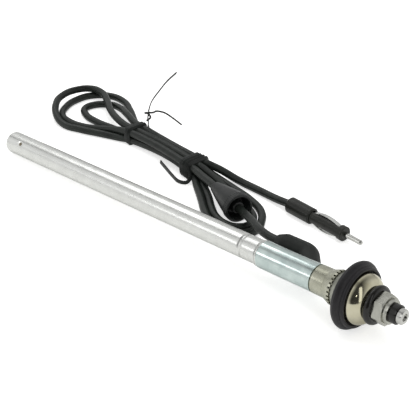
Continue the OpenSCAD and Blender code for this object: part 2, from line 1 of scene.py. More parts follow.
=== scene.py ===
# %% [markdown]
# # A retractable car antenna
#
# The CAD model already holds every rigid piece at its real size: the tube, the sleeve, the
# clamping stack for the fender, the mast and the plug. This lesson keeps those pieces, gives each
# of them the finish it has in the photograph, and makes anew what a CAD model draws too stiffly:
# the vinyl lead, its two ties, the rubber pad, the grommet and the moulded elbow.

import math

import bmesh
import bpy
from mathutils import Matrix, Quaternion, Vector


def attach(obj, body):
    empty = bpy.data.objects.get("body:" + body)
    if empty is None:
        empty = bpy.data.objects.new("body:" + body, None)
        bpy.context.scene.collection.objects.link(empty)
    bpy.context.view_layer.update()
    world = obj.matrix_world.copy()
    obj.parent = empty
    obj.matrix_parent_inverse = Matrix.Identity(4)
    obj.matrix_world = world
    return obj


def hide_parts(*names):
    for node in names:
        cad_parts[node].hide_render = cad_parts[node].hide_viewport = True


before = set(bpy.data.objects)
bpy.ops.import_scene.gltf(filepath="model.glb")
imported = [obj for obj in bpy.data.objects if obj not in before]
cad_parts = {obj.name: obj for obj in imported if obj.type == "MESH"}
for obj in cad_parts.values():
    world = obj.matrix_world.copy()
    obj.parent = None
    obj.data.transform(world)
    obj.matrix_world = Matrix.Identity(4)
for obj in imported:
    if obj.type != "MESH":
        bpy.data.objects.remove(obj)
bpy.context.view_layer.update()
MM = 0.001
ROOT = "antenna_body"

# %% [markdown]
# ## The antenna's own axis
#
# The antenna lies on its wide rubber pad and on the closed end of its tube, so its axis rises
# 2.3 degrees. A turned piece is easiest to think of by its station, the distance along that
# axis from the closed end. One matrix takes a point from stations to the scene: its Z runs along
# the axis, its X towards the side of the lead and its Y upwards.

# %% Stations along the axis
AXIS_TILT = math.radians(2.296)
AXIS_START = Vector((-166.853, 0, 7.3958)) * MM
AXIS = Vector((math.cos(AXIS_TILT), 0, math.sin(AXIS_TILT)))
UP_FROM_AXIS = Vector((-math.sin(AXIS_TILT), 0, math.cos(AXIS_TILT)))


def on_axis(station, side=0.0, up=0.0):
    """Scene point at a station, so far to the lead's side and so far up, all in mm."""
    return AXIS_START + (AXIS * station + Vector((0, side, 0)) + UP_FROM_AXIS * up) * MM


AXIS_FRAME = Matrix.Translation(AXIS_START) @ Matrix(
    [[0, UP_FROM_AXIS.x, AXIS.x, 0], [1, 0, 0, 0], [0, UP_FROM_AXIS.z, AXIS.z, 0], [0, 0, 0, 1]]
)
print("tip of the axis, mm:", [round(v / MM, 1) for v in on_axis(334)])

# %% [markdown]
# ## The camera
#
# The photograph looks down at the antenna by 30 degrees from its near side, with the mast tip
# towards the camera. A long lens stands for the distance at which the tube's edges converge
# as they do in the photograph.

# %% Place the camera
SENSOR_MM = 36
PICTURE_PX = 420
FOCAL_PX = 1123
camera_data = bpy.data.cameras.new("camera")
camera_data.sensor_width = SENSOR_MM
camera_data.lens = SENSOR_MM * FOCAL_PX / PICTURE_PX
camera = bpy.data.objects.new("camera", camera_data)
bpy.context.scene.collection.objects.link(camera)
camera.location = Vector((428.1, -401.9, 363.4)) * MM
view_line = Vector((-0.6090, 0.6096, -0.5073))
roll = Quaternion((0, 0, 1), -0.0190)
camera.rotation_euler = (view_line.to_track_quat("-Z", "Y") @ roll).to_euler()
camera_data.clip_start = 0.01
bpy.context.scene.camera = camera
print("camera at, m:", [round(v, 3) for v in camera.location], "lens, mm:", round(camera_data.lens))

# %% [markdown]
# ## Colours and shader nodes
#
# Colours are read off as sRGB hex values, the way a paint program shows them, and one function
# turns them to the linear values that the shaders work in. A second one adds a node, sets its
# sockets and links whatever other node it is given. A third starts a material.


# %% Small helpers for materials
def linear(hex_colour):
    """sRGB hex to the linear colour that shaders use."""
    channels = [int(hex_colour[i : i + 2], 16) / 255 for i in (1, 3, 5)]
    return [c / 12.92 if c <= 0.04045 else ((c + 0.055) / 1.055) ** 2.4 for c in channels] + [1.0]


def add(tree, kind, sockets=None, stops=(), **settings):
    """Adds a node, sets its settings, and sets or links its sockets by name or number.

    A socket takes a value, an output, or a node, which stands for its first output. A ramp also
    takes its stops, as places and linear colours.
    """
    node = tree.nodes.new(kind)
    for name, value in settings.items():
        setattr(node, name, value)
    for name, value in (sockets or {}).items():
        if isinstance(value, bpy.types.Node):
            value = value.outputs[0]
        if isinstance(value, bpy.types.NodeSocket):
            tree.links.new(value, node.inputs[name])
        else:
            node.inputs[name].default_value = value
    for _ in stops[2:]:
        node.color_ramp.elements.new(0.5)
    for k, (place, colour) in enumerate(stops):
        node.color_ramp.elements[k].position = place
        node.color_ramp.elements[k].color = colour
    return node


def new_material(name):
    """An empty node material and its output, with a Principled shader joined to it."""
    material = bpy.data.materials.new(name)
    material.use_nodes = True
    tree = material.node_tree
    tree.nodes.clear()
    shader = add(tree, "ShaderNodeBsdfPrincipled")
    add(tree, "ShaderNodeOutputMaterial", {"Surface": shader.outputs["BSDF"]})
    return material, tree, shader


# %% [markdown]
# ## Light and floor
#
# The photograph is a plain catalogue picture: soft lamps, and everything round the object white.
# The world is white to the camera. Metal needs something to mirror, so mirrors see soft grey
# walls instead: a dark strip in the ceiling that draws the dark line along the sleeve, and
# towards the tip the dark corner that the camera stands in, which the dome shows.

# %% The walls that the tube mirrors
world = bpy.data.worlds.new("studio")
bpy.context.scene.world = world
world.use_nodes = True
sky = world.node_tree
sky.nodes.clear()
direction = add(sky, "ShaderNodeTexCoord").outputs["Generated"]
x, y, z = add(sky, "ShaderNodeSeparateXYZ", {0: direction}).outputs
# Half a turn from the back, over the ceiling, to the front is 0 to 1
turn = add(sky, "ShaderNodeMath", {0: z, 1: y}, operation="ARCTAN2")
half_turn = add(sky, "ShaderNodeMath", {0: turn, 1: math.pi}, operation="DIVIDE")
WALL_GREYS = [
    (0.0, 0.35), (0.06, 0.5), (0.14, 0.72), (0.45, 0.78), (0.51, 0.4), (0.57, 0.42),
    (0.64, 0.86), (0.86, 0.95), (0.9, 0.7), (0.93, 0.7), (0.97, 0.92),
]  # fmt: skip
along_the_tube = add(
    sky,
    "ShaderNodeValToRGB",
    {"Fac": half_turn},
    stops=[(place, (grey, grey, grey, 1)) for place, grey in WALL_GREYS],
)
print("walls:", len(WALL_GREYS), "greys from the back to the front")

# %% The dark corner before the tip
CORNER_WIDE = 0.7
CORNER_HIGH = 0.9
CORNER_SIDE = -0.12
CORNER_UP = 0.45
CORNER_GREYS = [(0.55, 0.05), (0.95, 0.88)]
sideways = add(sky, "ShaderNodeMath", {0: x, 1: y}, operation="ADD")
across = add(
    sky,
    "ShaderNodeMath",
    {0: sideways, 1: CORNER_WIDE, 2: -CORNER_SIDE * CORNER_WIDE},
    operation="MULTIPLY_ADD",
)
height = add(
    sky,
    "ShaderNodeMath",
    {0: z, 1: CORNER_HIGH, 2: -CORNER_UP * CORNER_HIGH},
    operation="MULTIPLY_ADD",
)
from_corner = add(sky, "ShaderNodeCombineXYZ", {"X": across, "Y": height})
away = add(sky, "ShaderNodeVectorMath", {0: from_corner}, operation="LENGTH").outputs["Value"]
before_the_tip = add(
    sky,
    "ShaderNodeValToRGB",
    {"Fac": away},
    stops=[(place, (grey, grey, grey, 1)) for place, grey in CORNER_GREYS],
)
to_the_tip = add(sky, "ShaderNodeMapRange", {"Value": x, "From Min": -0.25, "From Max": 0.15})
walls = add(
    sky,
    "ShaderNodeMix",
    {"Factor": to_the_tip, "A": along_the_tube, "B": before_the_tip},
    data_type="RGBA",
)

# %% White for the camera, walls for mirrors, fill light for the rest
rays = add(sky, "ShaderNodeLightPath").outputs
seen = add(
    sky,
    "ShaderNodeMath",
    {0: rays["Is Camera Ray"], 1: rays["Is Transmission Ray"]},
    operation="MAXIMUM",
)
fill_light = add(sky, "ShaderNodeBackground", {"Color": linear("#FFFFFF"), "Strength": 0.5})
mirrored_walls = add(
    sky, "ShaderNodeBackground", {"Color": walls.outputs["Result"], "Strength": 1.0}
)
white_room = add(sky, "ShaderNodeBackground", {"Color": linear("#FFFFFF"), "Strength": 1.0})
unseen = add(
    sky, "ShaderNodeMixShader", {"Fac": rays["Is Glossy Ray"], 1: fill_light, 2: mirrored_walls}
)
room = add(sky, "ShaderNodeMixShader", {"Fac": seen, 1: unseen, 2: white_room})
add(sky, "ShaderNodeOutputWorld", {"Surface": room})
print("world:", len(sky.nodes), "nodes")

# %% Floor
bpy.ops.object.select_all(action="DESELECT")
bpy.ops.mesh.primitive_plane_add(size=8)
floor = bpy.context.object
floor.name = "floor"
paper, tree, shader = new_material("white_studio_paper")
shader.inputs["Base Color"].default_value = linear("#F4F4F2")
shader.inputs["Roughness"].default_value = 0.9
shader.inputs["Specular IOR Level"].default_value = 0.0
# The camera sees the paper white; metal mirrors it a little darker
GLOW = 0.22
MORE_FOR_CAMERA = 0.38
to_camera = add(tree, "ShaderNodeLightPath").outputs["Is Camera Ray"]
glow = add(
    tree, "ShaderNodeMath", {0: to_camera, 1: MORE_FOR_CAMERA, 2: GLOW}, operation="MULTIPLY_ADD"
)
white = add(tree, "ShaderNodeEmission", {"Color": linear("#FFFFFF"), "Strength": glow})
both = add(tree, "ShaderNodeAddShader", {0: shader, 1: white})
tree.links.new(both.outputs[0], tree.nodes["Material Output"].inputs["Surface"])
floor.data.materials.append(paper)
print("floor, m:", [round(v, 1) for v in floor.dimensions])


# %% Lamps
def soft_lamp(name, place, aim, size, power):
    """A square area lamp that looks at a point; sizes in metres, power in watts."""
    data = bpy.data.lights.new(name, "AREA")
    data.shape = "RECTANGLE"
    data.size, data.size_y = size
    data.energy = power
    lamp = bpy.data.objects.new(name, data)
    bpy.context.scene.collection.objects.link(lamp)
    lamp.location = place
    direction = Vector(aim) - Vector(place)
    lamp.rotation_euler = direction.to_track_quat("-Z", "Y").to_euler()
    print(name, "at, m:", place)
    return lamp


# The first is the wide bright band on the far half of the tube, the second the bright line on
# its near half, the next two the highlights on dome, nut and tip. The last only lights.
soft_lamp("top_lamp", (-0.84, 0.25, 0.92), (-0.1, 0, 0), (0.62, 0.3), 1.3)
soft_lamp("left_lamp", (-0.6, -0.76, 0.4), (0.05, 0, 0), (0.22, 0.16), 0.3)
soft_lamp("right_lamp", (1.1, -0.36, 0.7), (0.12, 0, 0), (0.36, 1.5), 2.4)
soft_lamp("small_lamp", (0.72, -0.68, 0.6), (0.15, 0, 0), (0.05, 0.05), 0.12)
ceiling_lamp = soft_lamp("ceiling_lamp", (-0.1, 0.2, 1.5), (0, 0, 0), (1.0, 1.0), 7)
ceiling_lamp.visible_glossy = False

# %% [markdown]
# ## The lead
#
# LOW and HIGH are the heights of a cord on the floor and of one that lies on another. Under a
# tie the cords lie higher by the strip's thickness.
#
# A coaxial lead in soft black vinyl, 5.2 mm thick and about a metre and a half long. It leaves the
# moulded boot, runs through the grommet, is wound into a flat figure of eight between two
# ties, and ends in the plug. A curve that passes through the points of the CAD route keeps the
# length and lies where the CAD cord lies, without its corners.

# %% Route of the lead
LEAD_D = 5.2
LOW = 2.7
HIGH = 8.1
TIE_T = 0.8
TIED_LOW = LOW + TIE_T
TIED_HIGH = HIGH + TIE_T
# fmt: off
LEAD_ROUTE = [
    (65.46, 16.5, 16.71),
    (57, 17.5, 16), (46, 21.5, 14.6), (33, 28.5, 12.4),
    (16, 36.5, 9.8), (-1, 42, 9.8), (-15, 46.5, 9.7), (-30, 51.5, 8.8),
    (-45, 55.6, TIED_HIGH), (-112, 62.8, TIED_HIGH),
    (-124, 62.8, 7.4), (-138, 60.8, 4.4), (-154, 55, LOW), (-170, 52.5, LOW), (-183, 56.5, LOW),
    (-191.5, 67, LOW), (-195.5, 80, LOW), (-193, 93.5, LOW), (-182, 102.5, LOW), (-167, 103, LOW),
    (-151, 95.5, LOW), (-136, 86, LOW), (-123, 77.5, LOW), (-112, 73.8, TIED_LOW),
    (-45, 66.8, TIED_LOW), (-33, 65.4, LOW), (-14, 62, LOW), (6, 58, LOW), (20, 52, LOW),
    (28.5, 43, LOW), (33, 33, LOW), (30, 23.2, LOW), (20, 19.4, LOW), (6, 21.4, LOW),
    (-6, 28, LOW), (-18, 37, LOW), (-31, 46.4, LOW),
    (-45, 55.6, TIED_LOW), (-112, 62.8, TIED_LOW),
    (-123, 60.5, LOW), (-138, 55.5, LOW), (-154, 50, LOW), (-169, 47, LOW), (-182, 50.5, 4.6),
    (-193, 59, 7.6), (-200, 70.5, HIGH), (-200.8, 84, HIGH), (-193.8, 94, HIGH), (-182.5, 95, HIGH),
    (-169, 88.5, HIGH), (-154, 79, HIGH), (-139, 72.5, HIGH), (-124.5, 69.2, HIGH),
    (-112, 68.3, TIED_HIGH), (-45, 61.2, TIED_HIGH),
    (-32, 59.6, 7), (-16, 56.5, 4.2), (0, 52.5, LOW), (13, 48.5, LOW), (22, 42.5, LOW),
    (25.6, 34.6, LOW), (22, 28, LOW), (14, 25.8, LOW), (4, 28, LOW), (-6, 34, LOW),
    (-17, 42.5, LOW), (-31, 51.8, LOW),
    (-45, 61.1, TIED_LOW), (-112, 68.3, TIED_LOW),
    (-123, 68, LOW), (-139, 66.8, LOW), (-156, 66, LOW), (-170, 68.5, LOW), (-179, 75.5, LOW),
    (-178, 85, LOW), (-169, 91, 3.4), (-155, 89, 5.8), (-140, 82.8, 7.8), (-125, 76.8, HIGH),
    (-112, 73.8, TIED_HIGH), (-45, 66.9, TIED_HIGH),
    (-32, 69.6, 6.4), (-18, 71.2, 3.4), (2, 71.2, LOW), (18, 69.5, 3.6), (30, 68, 5.2),
]
# fmt: on


# %% Draw the lead as one curve
def curve_through(name, points, radius):
    """A round cord as a curve of one open spline through points in mm.

    The bevel is 1 and each point has the cord's radius, so that Blender's box round the curve,
    which grows by the radius of the points, is right.
    """
    data = bpy.data.curves.new(name, "CURVE")
    data.dimensions = "3D"
    data.bevel_depth = 1.0
    data.bevel_resolution = 5
    data.resolution_u = 10
    data.use_fill_caps = True
    data.twist_mode = "MINIMUM"
    spline = data.splines.new("BEZIER")
    spline.bezier_points.add(len(points) - 1)
    for knot, point in zip(spline.bezier_points, points):
        knot.co = Vector(point) * MM
        knot.radius = radius * MM
        knot.handle_left_type = knot.handle_right_type = "AUTO"
    piece = bpy.data.objects.new(name, data)
    bpy.context.scene.collection.objects.link(piece)
    return piece


lead = curve_through("lead", LEAD_ROUTE, LEAD_D / 2)
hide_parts("antenna_cable")
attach(lead, ROOT)

# %% [markdown]
# ## Twist ties
#
# Each tie is a flat vinyl strip over a steel wire. It goes round the bundle a few times, and its
# ends are twisted together. The strip is drawn as cross-sections with rounded corners that
# follow its way, the same way as in the CAD model, only with more of them.


# %% Sweep a strip along a way
def smooth_way(points, steps):
    """More points along the same way, rounded between the given ones."""
    knots = [Vector(p) for p in points]
    way = []
    for i in range(len(knots) - 1):
        before = knots[max(i - 1, 0)]
        a, b = knots[i], knots[i + 1]
        after = knots[min(i + 2, len(knots) - 1)]
        for k in range(steps):
            t = k / steps
            way.append(
                0.5
                * (
                    2 * a
                    + (b - before) * t
                    + (2 * before - 5 * a + 4 * b - after) * t * t
                    + (3 * a - before - 3 * b + after) * t**3
                )
            )
    return way + [knots[-1]]


def strip_along(name, points, width, thick, first_side, steps=4, twist=0.0, sides=12):
    """A strip with rounded edges along a way in mm, turned by twist degrees per mm."""
    way = smooth_way(points, steps)
    mesh = bmesh.new()
    rings = []
    side = Vector(first_side)
    run = 0.0
    for i, point in enumerate(way):
        heading = (way[min(i + 1, len(way) - 1)] - way[max(i - 1, 0)]).normalized()
        side = (side - side.dot(heading) * heading).normalized()
        over = side.cross(heading)
        run += (point - way[max(i - 1, 0)]).length
        turn = math.radians(twist * run)
        s = side * math.cos(turn) + over * math.sin(turn)
        o = over * math.cos(turn) - side * math.sin(turn)
        ring = []
        for k in range(sides):
            a = 2 * math.pi * (k + 0.5) / sides
            x = abs(math.cos(a)) ** 0.5 * math.copysign(1, math.cos(a))
            y = abs(math.sin(a)) ** 0.7 * math.copysign(1, math.sin(a))
            at = point + s * (x * width / 2) + o * (y * thick / 2)
            ring.append(mesh.verts.new(at * MM))
        rings.append(ring)
    for a, b in zip(rings, rings[1:]):
        for k in range(sides):
            n = (k + 1) % sides
            mesh.faces.new((a[k], a[n], b[n], b[k]))
    mesh.faces.new(rings[0][::-1])
    mesh.faces.new(rings[-1])
    bmesh.ops.recalc_face_normals(mesh, faces=mesh.faces[:])
    data = bpy.data.meshes.new(name)
    mesh.to_mesh(data)
    mesh.free()
    for polygon in data.polygons:
        polygon.use_smooth = True
    piece = bpy.data.objects.new(name, data)
    bpy.context.scene.collection.objects.link(piece)
    return piece


# %% Ways of the two ties
TIE_W = 2.6
BUNDLE_TURN = math.radians(-6)
ALONG = Vector((math.cos(BUNDLE_TURN), math.sin(BUNDLE_TURN), 0))
OVER = Vector((-math.sin(BUNDLE_TURN), math.cos(BUNDLE_TURN), 0))
LOOP_W = 1.5 * LEAD_D + 0.45 + TIE_T / 2
LOOP_H = LEAD_D + 0.15 + TIE_T / 2
LOOP_R = LEAD_D / 2 + TIE_T / 2


def loop_points(place, first, last):
    """Points of a tie's turns round the bundle, 12 to a turn, each turn beside the last."""
    way = []
    for k in range(first, last + 1):
        corner = (k // 3) % 4
        a = math.radians(90 * (k // 3) - 90 + 45 * (k % 3))
        u = (1 if corner < 2 else -1) * (LOOP_W - LOOP_R) + LOOP_R * math.cos(a)
        v = (1 if corner in (1, 2) else -1) * (LOOP_H - LOOP_R) + LOOP_R * math.sin(a)
        way.append(
            Vector(place)
            + (k - first) / 12 * (TIE_W + 0.3) * ALONG
            + u * OVER
            + Vector((0, 0, v))
        )
    return way


TIE_1_AT = (-116.5, 68.8, TIED_LOW + LEAD_D / 2 + 0.1)
TIE_2_AT = (-54, 62.2, TIED_LOW + LEAD_D / 2 + 0.1)
# fmt: off
TIE_1_TAIL = [
    (-108.8, 75.5, 14.5), (-107.5, 74, 18.5), (-106.5, 73.8, 22), (-108.3, 76.5, 25),
    (-112, 83, 27.6), (-116.5, 95, 30.4), (-120.5, 106, 32.4), (-123, 117.6, 34.3),
]
TIE_1_END = [
    (-110, 76.5, 15), (-107, 72.8, 17.4), (-105.6, 74.8, 19.2), (-108.4, 75.6, 21),
    (-108.6, 72.6, 22.6), (-105, 72.4, 24), (-104.2, 75.6, 23.2), (-106, 78.6, 21.8),
    (-107.5, 83, 20.7), (-106, 89, 17.7), (-104, 95, 12), (-104, 103, 4),
]
TIE_2_TAIL = [
    (-42.5, 51.5, 5), (-41.5, 47, 2.6), (-47.5, 45.3, 1.8), (-56, 48, 1.6),
    (-66, 52, 1.6), (-77, 56.5, 1.6),
]
# fmt: on
tie_1 = strip_along(
    "tie_by_the_long_loops", loop_points(TIE_1_AT, 3, 28) + TIE_1_TAIL, TIE_W, TIE_T, ALONG
)
tie_1_end = strip_along("tie_end", TIE_1_END, 1.2, 1.2, ALONG)
tie_2 = strip_along(
    "tie_by_the_short_loops", loop_points(TIE_2_AT, 3, 44) + TIE_2_TAIL, TIE_W, TIE_T, ALONG
)
for piece, node_name in (
    (tie_1, "twist_tie_1"),
    (tie_1_end, "twist_tie_1"),
    (tie_2, "twist_tie_2"),
):
    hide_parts(node_name)
    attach(piece, ROOT)
    print(piece.name, len(piece.data.polygons), "faces")

# %% [markdown]
# ## The moulded rubber pieces
#
# The pad under the fender, the grommet and the elbow are moulded rubber. The first two are bodies
# of revolution with a bore, so they are drawn as on a lathe: one circle is extruded ring by ring
# along a half outline, every ring is resized, and the last ring is bridged to the first. The
# outline gives what a mould gives: rounded rims, the ridge that seals against the dome, a thin
# line where the two halves of the mould met.


# %% A lathe made of extrusions
def turned(name, outline, place, corners):
    """A ring-shaped piece from a closed half outline of (radius, station) in mm."""
    bpy.ops.object.select_all(action="DESELECT")
    radius, station = outline[0]
    bpy.ops.mesh.primitive_circle_add(vertices=corners, radius=radius * MM)
    piece = bpy.context.object
    piece.name = name
    bpy.ops.object.mode_set(mode="EDIT")
    bpy.ops.mesh.select_all(action="SELECT")
    bpy.ops.transform.translate(value=(0, 0, station * MM))
    for next_radius, next_station in outline[1:]:
        rise = (0, 0, (next_station - station) * MM)
        bpy.ops.mesh.extrude_region_move(TRANSFORM_OT_translate={"value": rise})
        grow = next_radius / radius
        middle = (0, 0, next_station * MM)
        bpy.ops.transform.resize(value=(grow, grow, 1), center_override=middle)
        radius, station = next_radius, next_station
    bpy.ops.mesh.select_mode(type="EDGE")
    bpy.ops.mesh.select_all(action="DESELECT")
    bpy.ops.mesh.select_non_manifold()
    bpy.ops.mesh.bridge_edge_loops()
    bpy.ops.mesh.select_all(action="SELECT")
    bpy.ops.mesh.normals_make_consistent(inside=False)
    bpy.ops.object.mode_set(mode="OBJECT")
    bpy.ops.object.shade_smooth_by_angle(angle=math.radians(40))
    piece.data.transform(place)
    print(name, len(piece.data.polygons), "faces")
    return piece


def stands_for(piece, node_name):
    """The piece takes a CAD node's place, on the same body."""
    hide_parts(node_name)
    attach(piece, ROOT)


def rounding(radius, station, bend, first, last, steps):
    """Points of an arc in the outline, by its centre, its radius and two angles in degrees."""
    turns = [math.radians(first + (last - first) * k / steps) for k in range(steps + 1)]
    return [(radius + bend * math.cos(a), station + bend * math.sin(a)) for a in turns]


# %% Rubber pad
PAD_AT = 298.8
BORE_R = 6.05
pad_outline = (
    [(BORE_R, 0), (11, 0), (16.2, 0)]
    + rounding(16.5, 3, 3, -82, -5, 8)
    + [(19.6, 3)]
    + rounding(16.5, 3, 3, 5, 72, 7)
    + [(17.45, 6.1)]
    + rounding(16.4, 7, 1, 0, 180, 8)
    + [(15.3, 6.15), (14.9, 6), (12.5, 6), (12.3, 6.2), (12.3, 7.8), (12.1, 8), (BORE_R, 8)]
)
pad = turned("pad", pad_outline, AXIS_FRAME @ Matrix.Translation((0, 0, PAD_AT * MM)), 128)
stands_for(pad, "rubber_pad")

# %% Grommet with a ribbed rim
GROMMET_AT = Vector((16, 36.5, 9.8)) * MM
GROMMET_TURN = math.radians(162)
RIM_R = 9.5
LEAD_BORE = LEAD_D / 2 + 0.05
grommet_outline = [
    (LEAD_BORE, 1), (3.4, 1), (3.8, 1.3), (3.95, 2), (4.1, 8.8), (4.6, 9.2), (6.4, 8.8),
    (6.9, 8.2), (7.8, 0.3), (8.1, 0), (8.9, 0), (9.3, 0.2), (RIM_R, 0.6), (RIM_R, 4.4),
    (9.3, 4.8), (8.9, 5), (8.75, 5.6), (8.6, 8), (8.1, 11), (7.4, 14.5), (6.6, 18.5), (5.8, 22.5),
    (5.0, 26), (4.3, 29), (3.9, 31), (3.7, 31.7), (3.3, 32), (LEAD_BORE, 32),
]  # fmt: skip
grommet_frame = (
    Matrix.Translation(GROMMET_AT)
    @ Matrix.Rotation(GROMMET_TURN, 4, "Z")
    @ Matrix.Rotation(math.radians(90), 4, "Y")
)
# Every third corner of the rim is pressed in, which leaves 44 ribs to grip the hole's edge
CORNERS = 132
CORNERS_PER_RIB = 3
RIB_DEEP = 0.55
grommet = turned("grommet", grommet_outline, Matrix.Identity(4), CORNERS)
rim = [v for v in grommet.data.vertices if v.co.xy.length > (RIM_R - 0.01) * MM]
for vertex in rim:
    corner = round(math.atan2(vertex.co.y, vertex.co.x) / (2 * math.pi) * CORNERS)
    if corner % CORNERS_PER_RIB == 0:
        vertex.co.xy *= 1 - RIB_DEEP / RIM_R
grommet.data.transform(grommet_frame)
stands_for(grommet, "firewall_grommet")

# %% [markdown]
# ## The elbow
#
# The elbow is one tube that bends inwards and ends on the round side of the sleeve. A circle is
# extruded along it, and turned a little at each step of the bend. It runs on into the sleeve, and a
# Boolean modifier cuts away what would be inside, so that it sits on the sleeve all round.

# %% Elbow on the side of the sleeve
ELBOW_AT = 250.5
ELBOW_R = 6.2
ELBOW_OFF = 16.5
BEND_R = 8.0
BEND_FROM = 1.8
BEND_STEPS = 8
BEND = math.radians(47)
bpy.ops.object.select_all(action="DESELECT")
bpy.ops.mesh.primitive_circle_add(vertices=64, radius=LEAD_BORE * MM, fill_type="NGON")
elbow = bpy.context.object
elbow.name = "elbow"
# One vertex further out draws the seam of the mould along the whole elbow
SEAM = 1.04
elbow.data.vertices[0].co *= SEAM
bpy.ops.object.mode_set(mode="EDIT")
bpy.ops.mesh.select_all(action="SELECT")
BORE_END = -15.5
bpy.ops.transform.translate(value=(ELBOW_OFF * MM, 0, BORE_END * MM))
radius, station = LEAD_BORE, BORE_END
for next_radius, next_station in [
    (LEAD_BORE, -18), (3.6, -18), (4.0, -17.8), (4.2, -17.4), (4.9, -15.6), (5.6, -13.9),
    (5.95, -13), (6.12, -12.3), (ELBOW_R, -11.4), (ELBOW_R, -5), (ELBOW_R, BEND_FROM),
]:  # fmt: skip
    rise = (0, 0, (next_station - station) * MM)
    bpy.ops.mesh.extrude_region_move(TRANSFORM_OT_translate={"value": rise})
    grow = next_radius / radius
    middle = (ELBOW_OFF * MM, 0, next_station * MM)
    bpy.ops.transform.resize(value=(grow, grow, 1), center_override=middle)
    radius, station = next_radius, next_station
pivot = ((ELBOW_OFF - BEND_R) * MM, 0, BEND_FROM * MM)
for step in range(BEND_STEPS):
    bpy.ops.mesh.extrude_region_move()
    bpy.ops.transform.rotate(value=BEND / BEND_STEPS, orient_axis="Y", center_override=pivot)
inwards = Vector((-math.sin(BEND), 0, math.cos(BEND))) * ELBOW_OFF * MM
bpy.ops.mesh.extrude_region_move(TRANSFORM_OT_translate={"value": inwards})
bpy.ops.mesh.select_all(action="SELECT")
bpy.ops.mesh.normals_make_consistent(inside=False)
bpy.ops.object.mode_set(mode="OBJECT")
print("elbow reaches, mm:", [round(v / MM, 1) for v in elbow.dimensions])

# %% Cut the elbow to the sleeve
SLEEVE_R = 8.35
bpy.ops.object.select_all(action="DESELECT")
bpy.ops.mesh.primitive_cylinder_add(vertices=128, radius=SLEEVE_R * MM, depth=80 * MM)
sleeve_space = bpy.context.object
bpy.context.view_layer.objects.active = elbow
cut = elbow.modifiers.new("cut", "BOOLEAN")
cut.object = sleeve_space
cut.operation = "DIFFERENCE"
bpy.ops.object.modifier_apply(modifier="cut")
bpy.data.objects.remove(sleeve_space)
bpy.ops.object.select_all(action="DESELECT")
elbow.select_set(True)
bpy.ops.object.shade_smooth_by_angle(angle=math.radians(35))
elbow.data.transform(AXIS_FRAME @ Matrix.Translation((0, 0, ELBOW_AT * MM)))
stands_for(elbow, "cable_boot")
print("elbow:", len(elbow.data.polygons), "faces")

# %% [markdown]
# ## Metal finishes
#
# The tube is drawn aluminium, the sleeve zinc-plated steel, the collar a nickel-plated casting.
# They differ in colour, in how sharply they mirror the room and in what the tools left behind:
# fine lines along a drawn tube, a faint pebble on a casting. The real grain is finer than a
# pixel of the picture, 0.6 mm, so it is drawn about that coarse.


# %% Metals
def axis_coordinates(tree):
    """Object coordinates in mm, turned so that X runs along the antenna's axis."""
    place = add(tree, "ShaderNodeTexCoord").outputs["Object"]
    return add(
        tree,
        "ShaderNodeMapping",
        {
            "Vector": place,
            "Location": (166.423, 0, -14.0745),
            "Rotation": (0, AXIS_TILT, 0),
            "Scale": (1000, 1000, 1000),
        },
        vector_type="POINT",
    ).outputs["Vector"]


def plated(
    name, colour, darker, rough, grain_mm, stretch, bump=0.1, rough_range=0.08, groove_at=None
):
    """A plated or drawn metal: grain of a size in mm, stretched along the axis or round it.

    A piece that a tool pressed in gets a soft groove round it at that station.
    """
    material, tree, shader = new_material(name)
    place = axis_coordinates(tree)
    stretched = add(tree, "ShaderNodeMapping", {"Vector": place, "Scale": stretch})
    grain = add(
        tree,
        "ShaderNodeTexNoise",
        {"Vector": stretched, "Scale": 1 / grain_mm, "Detail": 3, "Roughness": 0.55},
    )
    cloud = add(tree, "ShaderNodeTexNoise", {"Vector": place, "Scale": METAL_CLOUDS, "Detail": 2})
    tint = add(
        tree,
        "ShaderNodeValToRGB",
        {"Fac": cloud},
        stops=[(0.35, linear(darker)), (0.65, linear(colour))],
    )
    tree.links.new(tint.outputs["Color"], shader.inputs["Base Color"])
    shader.inputs["Metallic"].default_value = 1.0
    sheen = add(
        tree,
        "ShaderNodeMapRange",
        {
            "Value": grain,
            "From Min": GRAIN_LOW,
            "From Max": GRAIN_HIGH,
            "To Min": rough - rough_range,
            "To Max": rough + rough_range,
        },
    )
    tree.links.new(sheen.outputs["Result"], shader.inputs["Roughness"])
    relief = add(tree, "ShaderNodeBump", {"Height": grain, "Strength": bump, "Distance": 0.0001})
    tree.links.new(relief.outputs["Normal"], shader.inputs["Normal"])
    if groove_at is not None:
        station = add(tree, "ShaderNodeSeparateXYZ", {0: place}).outputs["X"]
        past = add(tree, "ShaderNodeMath", {0: station, 1: groove_at}, operation="SUBTRACT")
        off = add(tree, "ShaderNodeMath", {0: past}, operation="ABSOLUTE")
        wall = add(
            tree,
            "ShaderNodeMapRange",
            {"Value": off, "From Max": GROOVE_W / 2},
            interpolation_type="SMOOTHSTEP",
        )
        pressed = add(
            tree, "ShaderNodeBump", {"Height": wall, "Strength": 1.0, "Distance": GROOVE_DEEP * MM}
        )
        tree.links.new(pressed.outputs["Normal"], relief.inputs["Normal"])
    return material


# The press that joins tube and liner leaves a groove 4 mm wide and half a millimetre deep
GROOVE_W = 4.0
GROOVE_DEEP = 0.5
# Noise lies mostly between these two values; clouds are about 8 mm wide
GRAIN_LOW, GRAIN_HIGH = 0.3, 0.7
METAL_CLOUDS = 0.12
# Aluminium drawn through a die: lines along it blur what it mirrors into pale bands
drawn_aluminium = plated(
    "drawn_aluminium",
    "#DDDEDB",
    "#D6D7D4",
    0.29,
    0.5,
    (0.06, 1, 1),
    bump=0.03,
    rough_range=0.05,
    groove_at=223,
)
# Steel plated with zinc and passivated clear: bluish, streaky along the tube, faintly cloudy
zinc_plated_steel = plated(
    "zinc_plated_steel", "#C9D5D2", "#B3C1BF", 0.2, 0.7, (0.05, 1, 1), bump=0.15
)
